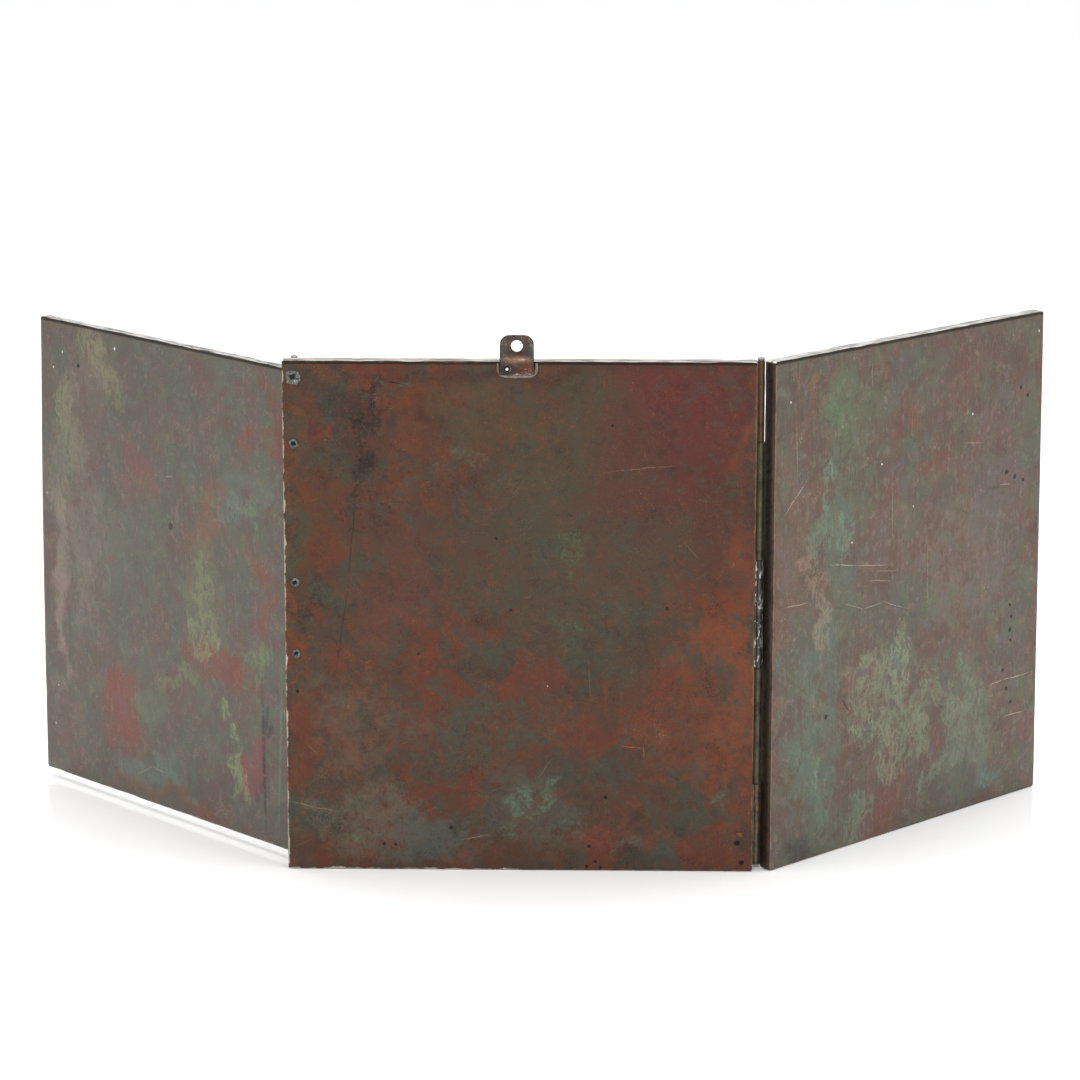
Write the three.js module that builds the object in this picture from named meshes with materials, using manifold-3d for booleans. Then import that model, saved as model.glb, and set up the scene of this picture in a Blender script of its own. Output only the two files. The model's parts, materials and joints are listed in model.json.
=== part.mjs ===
// A small folding triptych of patinated bronze: a centre plate that stands on its lower edge,
// two wing plates hung on knuckle hinges, and a hanging lug soldered to the back of the centre.
// Millimetres. +Z is up, +Y is the front (the carved side), and -Y is the plain back.
// The origin is the middle of the centre plate's underside.
// The left wing folds flat onto the centre first, and the right wing folds over both.

import * as THREE from 'three';
import { mergeVertices } from 'three/addons/utils/BufferGeometryUtils.js';
import Module from 'manifold-3d';

const wasm = await Module();
wasm.setup();

// --- driving dimensions -------------------------------------------------------------------------

const CENTRE = { width: 204, height: 228, thickness: 6.5 };
const LEFT = { width: 178, low: 4.5, high: 222.8, thickness: 5.0, outerBow: 1.1, outerLean: 2.0 };
const RIGHT = { width: 180.3, low: 0, high: 228, thickness: 6.5, outerBow: 0, outerLean: 1.0 };
const OPEN_ANGLE = THREE.MathUtils.degToRad(44.5); // each wing, forward of the centre's plane

const CORNER_RADIUS = 1.3; // plate corners, seen from the front
const EDGE_ROUND = 0.35; // softened arris along every plate edge

const GAP = 0.3; // between pieces that touch
const FOLD_GAP = 0.5; // between the leaves when they lie folded

const BARREL_RADIUS = 2.3;
const BORE_RADIUS = 1.5;
const PIN_RADIUS = 1.2;
const PIN_HEAD = { radius: 1.55, height: 1.3, flatRadius: 1.1, sideHeight: 0.8 };
const PIN_SEGMENTS = 20;
const LEAF_THICKNESS = 1.2; // hinge leaves on the right, soldered to the front faces
const LEAF_LENGTH = 9.5;
const WING_LEAF_DROP = 0.6; // the wing's leaves, below the barrel's lowest line
const KNUCKLE_GAP = 0.4;
const KNUCKLE_TOP = 1.3; // how far the hinges stop below the centre plate's top
const KNUCKLE_FOOT = 0.8; // how far they stop above its underside
const KNUCKLE_JOINTS = [36.5, 89, 137.5, 190]; // below the centre plate's top

const LEFT_PIN_INSET = 4.8; // inside the centre's left edge: this barrel sits on the front face
const RIGHT_PIN_OUTSET = 1.7; // outside the centre's right edge
const LEFT_WING_START = BARREL_RADIUS + GAP; // from the pin's axis to the wing's inner end
const RIGHT_WING_START = -1.3; // behind the barrel, so that the joint shows no gap

const RIVET_DROPS = [7.5, 36.6, 98, 130]; // below the top, in a column behind the left pin
const RIVET = { headRadius: 2.0, largeHeadRadius: 3.3, headHeight: 0.7, shoulderHeight: 0.6, shankRadius: 0.8 };
const RIVET_DIMPLE = { depth: 0.35, floorShare: 0.4, rimShare: 0.6, shoulderShare: 0.85 }; // of the head's radius
const RIVET_SEGMENTS = 18;

const LUG = { width: 14.6, above: 11.6, below: 5.9, thickness: 1.8, cornerRadius: 4.3 };
const LUG_FOOT = { flare: 0.5, inset: 1.0, rise: 1.2 }; // its widened lower corners
const LUG_HOLE = { radius: 2.55, above: 6.9 };
const LUG_SHIFT = -1.0; // sideways from the middle of the plate

const RELIEF_DEPTH = 1.4; // sunk fields of the front faces
const RELIEF_DROP = 0.2; // how far the raised figures stay below the frame
const CENTRE_FIELD = { halfWidth: 84, foot: 16, top: 211 };
const WING_FIELD = { halfWidth: 64, foot: 16, top: 205 };
const CROSS = { foot: 44, top: 184, width: 9, armLow: 136, armHalf: 34 };
const CROSS_STEPS = [{ halfWidth: 26, low: 30, high: 37 }, { halfWidth: 15, low: 37, high: 44 }];
const ROUNDEL = { height: 128, outer: 26, inner: 21, disc: 13 };

// --- places worked out from them ----------------------------------------------------------------

const backY = -CENTRE.thickness / 2;
const frontY = CENTRE.thickness / 2;
const CENTRE_PLATE = { width: CENTRE.width, low: 0, high: CENTRE.height, outerBow: 0, outerLean: 0 };
const centreLeftX = -CENTRE.width / 2;
const centreRightX = CENTRE.width / 2;

const leftPin = new THREE.Vector2(centreLeftX + LEFT_PIN_INSET, frontY + BARREL_RADIUS + 2 * GAP);
const rightPin = new THREE.Vector2(centreRightX + RIGHT_PIN_OUTSET, frontY + BARREL_RADIUS + GAP / 3);

// A wing's back face stands this far behind its pin, so that it lies flat where it should
// when it has turned half a circle about the pin.
const leftFoldedBack = frontY + FOLD_GAP + LEFT.thickness;
const rightFoldedBack = leftFoldedBack + FOLD_GAP + RIGHT.thickness;
const leftBackOffset = leftFoldedBack - leftPin.y;
const rightBackOffset = rightFoldedBack - rightPin.y;

const hingeTop = CENTRE.height - KNUCKLE_TOP;

// --- materials ----------------------------------------------------------------------------------

function bronze(name, color, roughness) {
  return new THREE.MeshStandardMaterial({ name, color, roughness, metalness: 0.6 });
}

const centreBronze = bronze('red-brown patinated bronze', 0x5c3a2c, 0.5);
const wingBronze = bronze('grey-mauve patinated bronze', 0x665850, 0.55);
const hingeBronze = bronze('dark hinge bronze', 0x4a4238, 0.45);
const pinBronze = bronze('hinge pin', 0x2e2a26, 0.4);
const rivetMetal = bronze('grey rivet', 0x6a6c64, 0.5);
const lugBronze = bronze('lug bronze', 0x5a4338, 0.45);

// --- solids -------------------------------------------------------------------------------------

function toManifold(geometry) {
  const bare = geometry.clone();
  bare.deleteAttribute('normal');
  bare.deleteAttribute('uv');
  const merged = mergeVertices(bare, 1e-4);
  return new wasm.Manifold(new wasm.Mesh({
    numProp: 3,
    vertProperties: new Float32Array(merged.attributes.position.array),
    triVerts: new Uint32Array(merged.index.array),
  }));
}

function toGeometry(solid) {
  const mesh = solid.getMesh();
  const geometry = new THREE.BufferGeometry();
  geometry.setAttribute('position', new THREE.BufferAttribute(mesh.vertProperties, 3));
  geometry.setIndex(new THREE.BufferAttribute(mesh.triVerts, 1));
  return geometry;
}

// An outline drawn in X and Z, made a slab between two depths, with its arrises rounded or sharp.
function slab(outline, yLow, yHigh, { round = 0, curveSegments = 12 } = {}) {
  const geometry = new THREE.ExtrudeGeometry(outline, {
    depth: yHigh - yLow - 2 * round,
    curveSegments,
    bevelEnabled: round > 0,
    bevelThickness: round,
    bevelSize: round,
    bevelOffset: -round,
    bevelSegments: 2,
  });
  geometry.rotateX(Math.PI / 2);
  geometry.translate(0, yHigh - round, 0);
  return geometry;
}

// A section drawn in X and Y, drawn out between two heights.
function column(section, zLow, zHigh) {
  const geometry = new THREE.ExtrudeGeometry(section, {
    depth: zHigh - zLow,
    bevelEnabled: false,
    curveSegments: 12,
  });
  geometry.translate(0, 0, zLow);
  return geometry;
}

function addPiece(parent, name, geometry, material) {
  const mesh = new THREE.Mesh(geometry, material);
  mesh.name = name;
  parent.add(mesh);
  return mesh;
}

// --- outlines -----------------------------------------------------------------------------------

// A plate from its hinge end to its outer end, with small round corners. The outer end may bow
// outwards a little and lean, its foot further out than its top, as a hand-cut edge does.
// 'side' is -1 to run towards -X.
function plateOutline(start, { width, low, high, outerBow, outerLean }, side) {
  const r = CORNER_RADIUS;
  const end = start + width - outerBow;
  const lowEnd = end + outerLean;
  const highEnd = end - outerLean;
  const middle = (low + high) / 2;
  const shape = new THREE.Shape();
  shape.moveTo(side * (start + r), low);
  shape.lineTo(side * (lowEnd - r), low);
  shape.quadraticCurveTo(side * lowEnd, low, side * lowEnd, low + r);
  if (outerBow > 0) {
    shape.quadraticCurveTo(side * (end + 2 * outerBow), middle, side * highEnd, high - r);
  } else {
    shape.lineTo(side * highEnd, high - r);
  }
  shape.quadraticCurveTo(side * highEnd, high, side * (highEnd - r), high);
  shape.lineTo(side * (start + r), high);
  shape.quadraticCurveTo(side * start, high, side * start, high - r);
  shape.lineTo(side * start, low + r);
  shape.quadraticCurveTo(side * start, low, side * (start + r), low);
  return shape;
}

// A field with a straight foot and a round-arched head.
function archOutline(centreX, { halfWidth, foot, top }) {
  const shape = new THREE.Shape();
  shape.moveTo(centreX - halfWidth, foot);
  shape.lineTo(centreX + halfWidth, foot);
  shape.lineTo(centreX + halfWidth, top - halfWidth);
  shape.absarc(centreX, top - halfWidth, halfWidth, 0, Math.PI, false);
  return shape;
}

function rectangle(xLow, xHigh, zLow, zHigh) {
  const shape = new THREE.Shape();
  shape.moveTo(xLow, zLow);
  shape.lineTo(xHigh, zLow);
  shape.lineTo(xHigh, zHigh);
  shape.lineTo(xLow, zHigh);
  return shape;
}

function disc(x, z, radius) {
  const shape = new THREE.Shape();
  shape.absarc(x, z, radius, 0, 2 * Math.PI, false);
  return shape;
}

// --- front reliefs ------------------------------------------------------------------------------

function sunkField(outline, faceY) {
  return toManifold(slab(outline, faceY - RELIEF_DEPTH, faceY + 1, { curveSegments: 24 }));
}

function raised(outline, faceY) {
  return toManifold(slab(outline, faceY - RELIEF_DEPTH - 1, faceY - RELIEF_DROP, { curveSegments: 24 }));
}

function crossFigure(faceY) {
  const upright = raised(rectangle(-CROSS.width / 2, CROSS.width / 2, CROSS.foot, CROSS.top), faceY);
  const arms = raised(
    rectangle(-CROSS.armHalf, CROSS.armHalf, CROSS.armLow, CROSS.armLow + CROSS.width), faceY);
  const steps = CROSS_STEPS.map(({ halfWidth, low, high }) =>
    raised(rectangle(-halfWidth, halfWidth, low, high), faceY));
  return steps.reduce((figure, step) => figure.add(step), upright.add(arms));
}

function roundelFigure(centreX, faceY) {
  const ring = raised(disc(centreX, ROUNDEL.height, ROUNDEL.outer), faceY)
    .subtract(toManifold(slab(disc(centreX, ROUNDEL.height, ROUNDEL.inner),
      faceY - 2 * RELIEF_DEPTH - 1, faceY + 1, { curveSegments: 24 })));
  return ring.add(raised(disc(centreX, ROUNDEL.height, ROUNDEL.disc), faceY));
}

// --- plates -------------------------------------------------------------------------------------

function centrePlate() {
  const outline = plateOutline(centreLeftX, CENTRE_PLATE, 1);
  const plate = toManifold(slab(outline, backY, frontY, { round: EDGE_ROUND }));
  const field = sunkField(archOutline(0, CENTRE_FIELD), frontY).subtract(crossFigure(frontY));
  const rivetHoles = RIVET_DROPS.map((drop) =>
    toManifold(slab(disc(leftPin.x, CENTRE.height - drop, RIVET.shankRadius + GAP), backY - 1, frontY + 1,
      { curveSegments: 6 })));
  return toGeometry(rivetHoles.reduce((solid, hole) => solid.subtract(hole), plate.subtract(field)));
}

function wingPlate(wing, start, backOffset, side) {
  const outline = plateOutline(start, wing, side);
  const faceY = wing.thickness - backOffset;
  const plate = toManifold(slab(outline, -backOffset, faceY, { round: EDGE_ROUND }));
  const middleX = side * (start + wing.width / 2);
  const field = sunkField(archOutline(middleX, WING_FIELD), faceY).subtract(roundelFigure(middleX, faceY));
  return toGeometry(plate.subtract(field));
}

// --- hinges -------------------------------------------------------------------------------------

// Sections are drawn about the pin's axis.

function boredSection(section) {
  const bore = new THREE.Path();
  bore.absarc(0, 0, BORE_RADIUS, 0, 2 * Math.PI, true);
  section.holes.push(bore);
  return section;
}

// A barrel on a square foot that stands on a face below it.
function footedBarrel(footDepth) {
  const section = new THREE.Shape();
  section.moveTo(-BARREL_RADIUS, -footDepth);
  section.lineTo(BARREL_RADIUS, -footDepth);
  section.lineTo(BARREL_RADIUS, 0);
  section.absarc(0, 0, BARREL_RADIUS, 0, Math.PI, false);
  return boredSection(section);
}

// A barrel squared off on its -X side, where it meets the end of the left wing.
function squaredBarrel() {
  const section = new THREE.Shape();
  section.moveTo(-BARREL_RADIUS, -BARREL_RADIUS);
  section.lineTo(0, -BARREL_RADIUS);
  section.absarc(0, 0, BARREL_RADIUS, -Math.PI / 2, Math.PI / 2, false);
  section.lineTo(-BARREL_RADIUS, BARREL_RADIUS);
  return boredSection(section);
}

// A barrel with a leaf towards -X. The leaf's underside is 'drop' below the pin's axis.
function barrelWithLeafToCentre(drop) {
  const leafTop = drop - LEAF_THICKNESS;
  const lowAngle = Math.atan2(-drop, -Math.sqrt(BARREL_RADIUS ** 2 - drop ** 2));
  const highAngle = Math.atan2(-leafTop, -Math.sqrt(BARREL_RADIUS ** 2 - leafTop ** 2));
  const section = new THREE.Shape();
  section.moveTo(-LEAF_LENGTH, -drop);
  section.lineTo(BARREL_RADIUS * Math.cos(lowAngle), -drop);
  section.absarc(0, 0, BARREL_RADIUS, lowAngle, highAngle + 2 * Math.PI, false);
  section.lineTo(-LEAF_LENGTH, -leafTop);
  return boredSection(section);
}

// A barrel with a leaf towards +X that lies on the right wing's front face, below the barrel.
function barrelWithLeafToWing(drop) {
  const leafTop = BARREL_RADIUS - WING_LEAF_DROP;
  const meetAngle = -Math.asin(leafTop / BARREL_RADIUS);
  const section = new THREE.Shape();
  section.moveTo(0, -drop);
  section.lineTo(LEAF_LENGTH, -drop);
  section.lineTo(LEAF_LENGTH, -leafTop);
  section.absarc(0, 0, BARREL_RADIUS, meetAngle, 1.5 * Math.PI, false);
  return boredSection(section);
}

// Five knuckles a side: the first, third and fifth belong to the centre, the others to the wing.
function knuckleSpans() {
  const breaks = [KNUCKLE_TOP, ...KNUCKLE_JOINTS, CENTRE.height - KNUCKLE_FOOT];
  return breaks.slice(1).map((lower, i) => ({
    number: i + 1,
    onWing: i % 2 === 1,
    low: CENTRE.height - lower + (i < KNUCKLE_JOINTS.length ? KNUCKLE_GAP / 2 : 0),
    high: CENTRE.height - breaks[i] - (i > 0 ? KNUCKLE_GAP / 2 : 0),
  }));
}

function addKnuckles(name, centreGroup, wingGroup, centreSection, wingSection) {
  for (const { number, onWing, low, high } of knuckleSpans()) {
    const section = onWing ? wingSection() : centreSection();
    addPiece(onWing ? wingGroup : centreGroup, `${name}_knuckle_${number}`,
      column(section, low, high), hingeBronze);
  }
}

// A pin turned in one piece with its low head.
function pin() {
  const headLow = hingeTop + GAP;
  const profile = [
    new THREE.Vector2(0, KNUCKLE_FOOT),
    new THREE.Vector2(PIN_RADIUS, KNUCKLE_FOOT),
    new THREE.Vector2(PIN_RADIUS, headLow),
    new THREE.Vector2(PIN_HEAD.radius, headLow),
    new THREE.Vector2(PIN_HEAD.radius, headLow + PIN_HEAD.sideHeight),
    new THREE.Vector2(PIN_HEAD.flatRadius, headLow + PIN_HEAD.height),
    new THREE.Vector2(0, headLow + PIN_HEAD.height),
  ];
  return new THREE.LatheGeometry(profile, PIN_SEGMENTS).rotateX(Math.PI / 2);
}

// --- rivets and lug -----------------------------------------------------------------------------

// A rivet along Y: a low peened head with a dimple behind the plate, and a shank through it.
function rivet(headRadius) {
  const headFace = GAP + RIVET.headHeight;
  const profile = [
    new THREE.Vector2(0, headFace - RIVET_DIMPLE.depth),
    new THREE.Vector2(headRadius * RIVET_DIMPLE.floorShare, headFace - RIVET_DIMPLE.depth),
    new THREE.Vector2(headRadius * RIVET_DIMPLE.rimShare, headFace),
    new THREE.Vector2(headRadius * RIVET_DIMPLE.shoulderShare, GAP + RIVET.shoulderHeight),
    new THREE.Vector2(headRadius, GAP),
    new THREE.Vector2(RIVET.shankRadius, GAP),
    new THREE.Vector2(RIVET.shankRadius, -CENTRE.thickness),
    new THREE.Vector2(0, -CENTRE.thickness),
  ];
  const geometry = new THREE.LatheGeometry(profile.reverse(), RIVET_SEGMENTS);
  return geometry.rotateX(Math.PI);
}

function lugOutline() {
  const half = LUG.width / 2;
  const r = LUG.cornerRadius;
  const top = CENTRE.height + LUG.above;
  const foot = CENTRE.height - LUG.below;
  const shape = new THREE.Shape();
  shape.moveTo(-half - LUG_FOOT.flare, foot + LUG_FOOT.rise);
  shape.quadraticCurveTo(-half - LUG_FOOT.flare, foot, -half + LUG_FOOT.inset, foot);
  shape.lineTo(half - LUG_FOOT.inset, foot);
  shape.quadraticCurveTo(half + LUG_FOOT.flare, foot, half + LUG_FOOT.flare, foot + LUG_FOOT.rise);
  shape.lineTo(half, CENTRE.height);
  shape.lineTo(half, top - r);
  shape.absarc(half - r, top - r, r, 0, Math.PI / 2, false);
  shape.absarc(-half + r, top - r, r, Math.PI / 2, Math.PI, false);
  shape.lineTo(-half, CENTRE.height);
  const hole = new THREE.Path();
  hole.absarc(0, CENTRE.height + LUG_HOLE.above, LUG_HOLE.radius, 0, 2 * Math.PI, true);
  shape.holes.push(hole);
  return shape;
}

// --- assembly -----------------------------------------------------------------------------------

const triptych = new THREE.Group();
const leftWing = new THREE.Group();
const rightWing = new THREE.Group();
const leftFixed = new THREE.Group();
const rightFixed = new THREE.Group();
triptych.add(leftWing, rightWing, leftFixed, rightFixed);

for (const group of [leftWing, leftFixed]) group.position.set(leftPin.x, leftPin.y, 0);
for (const group of [rightWing, rightFixed]) group.position.set(rightPin.x, rightPin.y, 0);
leftWing.rotation.z = -OPEN_ANGLE;
rightWing.rotation.z = OPEN_ANGLE;

addPiece(triptych, 'centre_plate', centrePlate(), centreBronze);
addPiece(leftWing, 'left_wing_plate', wingPlate(LEFT, LEFT_WING_START, leftBackOffset, -1), wingBronze);
addPiece(rightWing, 'right_wing_plate', wingPlate(RIGHT, RIGHT_WING_START, rightBackOffset, 1), wingBronze);

addKnuckles('left', leftFixed, leftWing,
  () => footedBarrel(leftPin.y - frontY - GAP), squaredBarrel);
addKnuckles('right', rightFixed, rightWing,
  () => barrelWithLeafToCentre(rightPin.y - frontY - GAP),
  () => barrelWithLeafToWing(rightBackOffset - RIGHT.thickness - GAP));

addPiece(leftFixed, 'left_hinge_pin', pin(), pinBronze);
addPiece(rightFixed, 'right_hinge_pin', pin(), pinBronze);

RIVET_DROPS.forEach((drop, i) => {
  const head = i === 0 ? RIVET.largeHeadRadius : RIVET.headRadius;
  const piece = addPiece(triptych, `left_rivet_${i + 1}`, rivet(head), rivetMetal);
  piece.position.set(leftPin.x, backY, CENTRE.height - drop);
});

const lug = addPiece(triptych, 'hanging_lug', slab(lugOutline(), -LUG.thickness, 0), lugBronze);
lug.position.set(LUG_SHIFT, backY - GAP, 0);

export default triptych;
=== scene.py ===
import json
import math

import bmesh
import bpy
from mathutils import Matrix, Vector, noise


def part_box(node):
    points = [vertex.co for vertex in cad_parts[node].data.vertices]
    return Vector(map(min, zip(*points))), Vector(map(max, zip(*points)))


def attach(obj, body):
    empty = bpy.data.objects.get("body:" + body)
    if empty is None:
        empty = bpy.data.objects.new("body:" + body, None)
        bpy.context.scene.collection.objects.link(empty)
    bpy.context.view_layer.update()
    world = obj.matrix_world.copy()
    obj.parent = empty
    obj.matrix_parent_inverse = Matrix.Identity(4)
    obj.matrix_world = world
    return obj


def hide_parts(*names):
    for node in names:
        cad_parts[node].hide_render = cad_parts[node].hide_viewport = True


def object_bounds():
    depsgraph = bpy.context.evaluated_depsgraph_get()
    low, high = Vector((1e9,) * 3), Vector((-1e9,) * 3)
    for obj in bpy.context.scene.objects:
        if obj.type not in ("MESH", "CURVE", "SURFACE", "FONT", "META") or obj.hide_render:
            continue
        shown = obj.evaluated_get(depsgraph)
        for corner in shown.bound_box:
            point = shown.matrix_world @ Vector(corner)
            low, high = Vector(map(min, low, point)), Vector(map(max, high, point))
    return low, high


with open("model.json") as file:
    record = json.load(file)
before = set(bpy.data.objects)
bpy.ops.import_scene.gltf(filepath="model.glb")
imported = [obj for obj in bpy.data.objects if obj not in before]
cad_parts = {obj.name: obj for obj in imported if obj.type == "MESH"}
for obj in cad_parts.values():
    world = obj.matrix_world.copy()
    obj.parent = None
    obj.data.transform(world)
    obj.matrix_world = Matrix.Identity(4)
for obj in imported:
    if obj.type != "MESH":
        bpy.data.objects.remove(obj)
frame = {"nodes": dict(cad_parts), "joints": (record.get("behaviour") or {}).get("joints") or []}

cad_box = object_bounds()

MM = 0.001

# The noise below starts from the clock unless it is given a seed.
noise.seed_set(4)


# --- small tools ---------------------------------------------------------------------------------

def linear(code):
    """An sRGB hex colour as linear RGBA."""
    channels = [int(code[i:i + 2], 16) / 255 for i in (1, 3, 5)]
    return (*[c / 12.92 if c <= 0.04045 else ((c + 0.055) / 1.055) ** 2.4 for c in channels], 1.0)


def joint_place(name):
    """Where a hinge's axis stands, in metres."""
    joint = next(j for j in frame["joints"] if j["name"] == name)
    return Vector(joint["pos_m"])


def centre_of(node):
    low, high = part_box(node)
    return (low + high) / 2


OPEN_ANGLE = math.radians(44.5)
LEFT_PIN = joint_place("left_wing_hinge")
RIGHT_PIN = joint_place("right_wing_hinge")
CENTRE_LOW, CENTRE_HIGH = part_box("centre_plate")
CENTRE_BACK = CENTRE_LOW.y

# Each plate has its own frame: X runs along the plate from its origin, turned about Z, and low and
# high are its corners there in millimetres.
CENTRE = {
    "node": "centre_plate", "body": "centre", "slot": "centre_bronze", "seed": 1.3,
    "origin": Vector((0, 0, 0)), "turn": 0.0,
    "low": (-102, CENTRE_BACK / MM, 0), "high": (102, -CENTRE_BACK / MM, 228),
}
LEFT_WING = {
    "node": "left_wing_plate", "body": "left_wing", "slot": "left_wing_bronze", "seed": 5.1,
    "origin": LEFT_PIN, "turn": -OPEN_ANGLE,
    "low": (-180.6, -2.6, 4.5), "high": (-2.6, 2.4, 222.8),
}
RIGHT_WING = {
    "node": "right_wing_plate", "body": "right_wing", "slot": "right_wing_bronze", "seed": 9.7,
    "origin": RIGHT_PIN, "turn": OPEN_ANGLE,
    "low": (-1.3, -10.1, 0), "high": (179.0, -3.6, 228),
}


# --- materials -----------------------------------------------------------------------------------

EASED = {"interpolation_type": "SMOOTHSTEP"}
FAR_OFF = 9.0  # a share of a mark's half size that is well outside it


class Patina:
    """A corroded bronze surface, built up in layers: colour, height in millimetres, and roughness."""

    def __init__(self, name, base, origin=(0, 0, 0), turn=0.0, back=0.0):
        self.material = bpy.data.materials.new(name)
        self.material.use_nodes = True
        self.tree = self.material.node_tree
        self.tree.nodes.clear()
        self.back = back
        # Millimetres along the plate, through it, and up it.
        self.here = self.add("Mapping", {
            "Vector": self.add("TexCoord", out="Object"), "Location": origin, "Rotation": (0, 0, turn),
            "Scale": (MM, MM, MM)}, vector_type="TEXTURE")
        self.colour = linear(base)
        self.height = 0.0
        self.roughness = 0.5
        self.lightly = self.shifted(self.here, 7, 2)
        self.ragged = self.shifted(self.lightly, 1.4, 3)
        self.gaps = self.add("MapRange", [self.mottle(1.4, 3), 0.32, 0.5], **EASED)

    def add(self, kind, inputs=(), out=0, **settings):
        """Adds a node with its settings, and with values or links for its inputs; gives an output."""
        node = self.tree.nodes.new("ShaderNode" + kind)
        for name, value in settings.items():
            setattr(node, name, value)
        for key, value in (inputs if isinstance(inputs, dict) else dict(enumerate(inputs))).items():
            if isinstance(value, bpy.types.NodeSocket):
                self.tree.links.new(value, node.inputs[key])
            else:
                node.inputs[key].default_value = value
        return node.outputs[out] if node.outputs else None

    def mottle(self, size, detail=4, stretch=(1, 1, 1), turn=0.0, roughness=0.55, where=None,
               distortion=0, out="Fac"):
        """Uneven patches about 'size' millimetres across, from 0 to 1."""
        moved = self.add("Mapping", {
            "Vector": where or self.here, "Rotation": (0, turn, 0), "Scale": Vector(stretch) * size,
        }, vector_type="TEXTURE")
        return self.add("TexNoise", {
            "Vector": moved, "Scale": 1.0, "Detail": detail, "Roughness": roughness,
            "Distortion": distortion}, out)

    def shifted(self, start, size, detail):
        """The place, pushed about by a little over half a millimetre each way."""
        cloud = self.mottle(size, detail, out="Color")
        push = self.add("VectorMath", [cloud, (0.5, 0.5, 0.5)], operation="SUBTRACT")
        push = self.add("VectorMath", {0: push, "Scale": 1.3}, operation="SCALE")
        return self.add("VectorMath", [start, push], operation="ADD")

    def swayed(self, value, cloud, amount):
        """A value pushed up and down by a cloud's swing about its middle."""
        swing = self.add("Math", [cloud, 0.5], operation="SUBTRACT")
        return self.add("Math", [swing, amount, value], operation="MULTIPLY_ADD")

    def cover(self, mask, colour):
        """Lays another colour over what is there, as far as mask is 1."""
        colour = linear(colour) if isinstance(colour, str) else colour
        self.colour = self.add("Mix", {0: mask, 6: self.colour, 7: colour}, 2, data_type="RGBA")

    def raise_by(self, mask, amount):
        self.height = self.add("Math", [mask, amount, self.height], operation="MULTIPLY_ADD")

    def rougher(self, mask, amount):
        self.roughness = self.add("Math", [mask, amount, self.roughness], operation="MULTIPLY_ADD")

    def clouds(self, size, low, high, code, strength, **how):
        """Soft patches of one colour, where the mottle rises from low to high."""
        self.cover(self.add("MapRange", [self.mottle(size, **how), low, high, 0, strength], **EASED), code)

    def painted(self, name):
        """Colour and strength that were laid on the mesh from the listed patches."""
        layer = self.add("Attribute", attribute_name=name, attribute_type="GEOMETRY").node
        return layer.outputs["Color"], layer.outputs["Alpha"]

    def stains_and_salts(self, stretch=(1, 1, 1), rough=1.0, veiled=0.36, ridged=0.6):
        """Soft stains in the patina, then chalky salts on it as a veil with crusty ridges."""
        broad = self.mottle(7, 5, stretch, roughness=0.64, distortion=1.0)
        fine = self.mottle(1.3, 2, stretch, roughness=0.6)
        crumbs = self.mottle(4.2, 5, stretch, roughness=0.68, distortion=1.2)

        colour, strength = self.painted("stain")
        uneven = self.swayed(self.swayed(strength, broad, 1.9 * rough), fine, 0.9 * rough)
        near = self.add("MapRange", [strength, 0, 0.35], **EASED)
        stain = self.add("MapRange", [uneven, 0.05, 0.8, 0, 0.8], **EASED)
        self.cover(self.add("Math", [stain, near], operation="MULTIPLY"), colour)

        colour, strength = self.painted("salt")
        ragged = self.swayed(self.swayed(strength, crumbs, 2.6), fine, 1.0)
        near = self.add("MapRange", [strength, 0, 0.25], **EASED)
        veil = self.add("MapRange", [ragged, 0.2, 1.1, 0, veiled], **EASED)
        veil = self.add("Math", [veil, near], operation="MULTIPLY")
        folds = self.add("Math", [broad, 0.5], operation="SUBTRACT")
        folds = self.add("Math", [folds], operation="ABSOLUTE")
        ridges = self.add("MapRange", [folds, 0.09, 0, 0, ridged], **EASED)
        for mask in ([ragged, -0.15, 0.6], [strength, 0.06, 0.3]):
            ridges = self.add("Math", [ridges, self.add("MapRange", mask, **EASED)], operation="MULTIPLY")
        salt = self.add("Math", [veil, ridges], operation="MAXIMUM")
        self.cover(salt, colour)
        self.raise_by(salt, 0.14)
        return salt

    def grained(self, darker, lighter, strength):
        """The finest mottle, under a millimetre across."""
        grain = self.mottle(0.8, 2, roughness=0.7)
        self.cover(self.add("MapRange", [grain, 0.48, 0.25, 0, strength], **EASED), darker)
        self.cover(self.add("MapRange", [grain, 0.52, 0.75, 0, strength], **EASED), lighter)

    def speckled(self, size, cluster, low, high, code, strength, depth=0.0):
        """Specks that gather in clusters."""
        gathered = self.mottle(cluster, 3, roughness=0.6, distortion=0.5)
        specks = self.swayed(self.mottle(size, 2), gathered, 0.75)
        mask = self.add("MapRange", [specks, low, high, 0, strength], **EASED)
        self.cover(mask, code)
        if depth:
            self.raise_by(mask, depth)

    def hairlines(self, turn, code, strength):
        """Sparse hair-thin scuffs that all run about one way; 'turn' is in degrees."""
        self.clouds(1, 0.69, 0.76, code, strength, detail=2, stretch=(0.28, 1, 15),
                    turn=math.radians(turn), where=self.lightly)

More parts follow.
